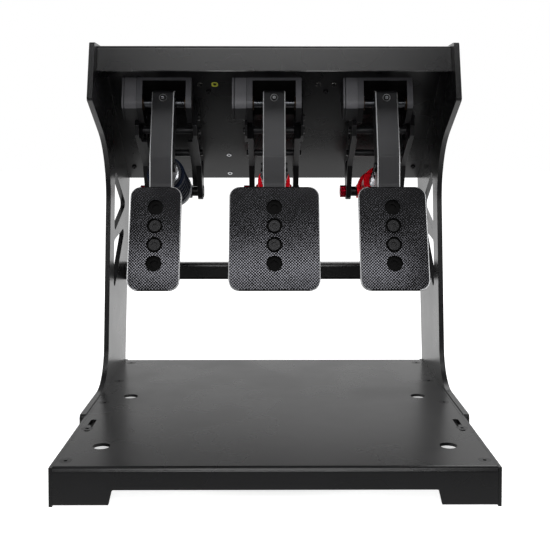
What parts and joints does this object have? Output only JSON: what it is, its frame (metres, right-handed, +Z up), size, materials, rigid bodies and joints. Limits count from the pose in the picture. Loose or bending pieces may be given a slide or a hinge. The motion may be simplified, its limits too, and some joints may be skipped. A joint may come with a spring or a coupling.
{
  "type": "sim racing pedal set",
  "caption": "Floor-standing hanging pedal set for a driving game: folded deck, plate uprights, sloping mounting plate and pedals with sprung units.",
  "frame": {"origin": "on the floor under the middle of the whole frame", "axes": "+Z up, +Y away from the driver, +X to the driver's right"},
  "size_m": [0.42, 0.442, 0.436],
  "materials": {
    "powder_black": "satin",
    "anodised_black": "satin",
    "anodised_red": "satin",
    "bright_steel": "satin",
    "black_steel": "satin",
    "spring_navy": "gloss",
    "housing_black": "matt",
    "elastomer_grey": "matt",
    "board_green": "matt",
    "port_ring": "gloss",
    "bronze": "satin"
  },
  "bodies": {
    "frame": {"base_deck": "powder_black", "side_rail_left": "powder_black", "side_rail_right": "powder_black", "upright_left": "powder_black", "upright_right": "powder_black", "mounting_plate": "powder_black", "rear_crossbar": "powder_black", "corner_brackets": "powder_black", "deck_screws": "black_steel", "frame_bolts": "black_steel", "control_box": "housing_black", "control_board": "board_green", "sensor_sockets": "housing_black", "data_port": "port_ring", "pivot_bushes": "bronze", "cross_spacers": "anodised_black", "module_bolts": "black_steel", "clutch_bracket": "anodised_black", "clutch_sensor_housing": "housing_black", "clutch_frame_left": "anodised_black", "clutch_frame_right": "anodised_black", "clutch_rear_pin": "black_steel", "brake_bracket": "anodised_black", "brake_sensor_housing": "housing_black", "brake_frame_left": "anodised_black", "brake_frame_right": "anodised_black", "brake_rear_pin": "black_steel", "throttle_bracket": "anodised_black", "throttle_sensor_housing": "housing_black", "throttle_frame_left": "anodised_black", "throttle_frame_right": "anodised_black", "throttle_rear_pin": "black_steel"},
    "clutch_pedal": {"clutch_arm": "anodised_black", "clutch_arm_pin": "black_steel", "clutch_pivot_shaft": "bright_steel", "clutch_pad_carrier": "anodised_black", "clutch_pad": "anodised_black", "clutch_pad_screws": "black_steel"},
    "clutch_unit": {"clutch_spring_body": "anodised_black", "clutch_spring": "spring_navy"},
    "clutch_plunger": {"clutch_rod": "bright_steel"},
    "brake_pedal": {"brake_arm": "anodised_black", "brake_arm_pin": "black_steel", "brake_pivot_shaft": "bright_steel", "brake_pad_carrier": "anodised_black", "brake_pad": "anodised_black", "brake_pad_screws": "black_steel"},
    "brake_unit": {"brake_load_body": "anodised_red", "brake_elastomers": "elastomer_grey"},
    "brake_plunger": {"brake_rod": "bright_steel"},
    "throttle_pedal": {"throttle_arm": "anodised_black", "throttle_arm_pin": "black_steel", "throttle_pivot_shaft": "bright_steel", "throttle_pad_carrier": "anodised_black", "throttle_pad": "anodised_black", "throttle_pad_screws": "black_steel"},
    "throttle_unit": {"throttle_spring_body": "anodised_red", "throttle_spring": "bright_steel"},
    "throttle_plunger": {"throttle_rod": "bright_steel"}
  },
  "joints": [
    {"name": "clutch_pedal_hinge", "type": "hinge", "parent": "frame", "child": "clutch_pedal", "pos_m": [-0.1325, 0.07212, 0.37313], "axis": [1, 0, 0], "range_deg": [0, 18], "stiffness_Nm_per_rad": 60, "springref_deg": -6.88},
    {"name": "clutch_unit_hinge", "type": "hinge", "parent": "frame", "child": "clutch_unit", "pos_m": [-0.1325, 0.17603, 0.26205], "axis": [1, 0, 0], "range_deg": [-0.704, 0]},
    {"name": "clutch_plunge", "type": "slide", "parent": "clutch_unit", "child": "clutch_plunger", "axis": [0, 0.9686, -0.2485], "range_m": [0, 0.02581], "deforming": ["clutch_spring"]},
    {"name": "brake_pedal_hinge", "type": "hinge", "parent": "frame", "child": "brake_pedal", "pos_m": [0, 0.07212, 0.37313], "axis": [1, 0, 0], "range_deg": [0, 8], "stiffness_Nm_per_rad": 200, "springref_deg": -3.44},
    {"name": "brake_unit_hinge", "type": "hinge", "parent": "frame", "child": "brake_unit", "pos_m": [0, 0.17603, 0.26205], "axis": [1, 0, 0], "range_deg": [0, 0.132]},
    {"name": "brake_plunge", "type": "slide", "parent": "brake_unit", "child": "brake_plunger", "axis": [0, 0.9686, -0.2485], "range_m": [0, 0.0115], "deforming": ["brake_elastomers"]},
    {"name": "throttle_pedal_hinge", "type": "hinge", "parent": "frame", "child": "throttle_pedal", "pos_m": [0.134, 0.07212, 0.37313], "axis": [1, 0, 0], "range_deg": [0, 16], "stiffness_Nm_per_rad": 30, "springref_deg": -9.17},
    {"name": "throttle_unit_hinge", "type": "hinge", "parent": "frame", "child": "throttle_unit", "pos_m": [0.134, 0.17603, 0.26205], "axis": [1, 0, 0], "range_deg": [-0.436, 0]},
    {"name": "throttle_plunge", "type": "slide", "parent": "throttle_unit", "child": "throttle_plunger", "axis": [0, 0.9686, -0.2485], "range_m": [0, 0.02284], "deforming": ["throttle_spring"]}
  ],
  "couplings": [
    {"joint": "clutch_unit_hinge", "follows": "clutch_pedal_hinge", "ratio": -0.038},
    {"joint": "clutch_plunge", "follows": "clutch_pedal_hinge", "m_per_rad": 0.082},
    {"joint": "brake_unit_hinge", "follows": "brake_pedal_hinge", "ratio": 0.014},
    {"joint": "brake_plunge", "follows": "brake_pedal_hinge", "m_per_rad": 0.082},
    {"joint": "throttle_unit_hinge", "follows": "throttle_pedal_hinge", "ratio": -0.026},
    {"joint": "throttle_plunge", "follows": "throttle_pedal_hinge", "m_per_rad": 0.0816}
  ]
}
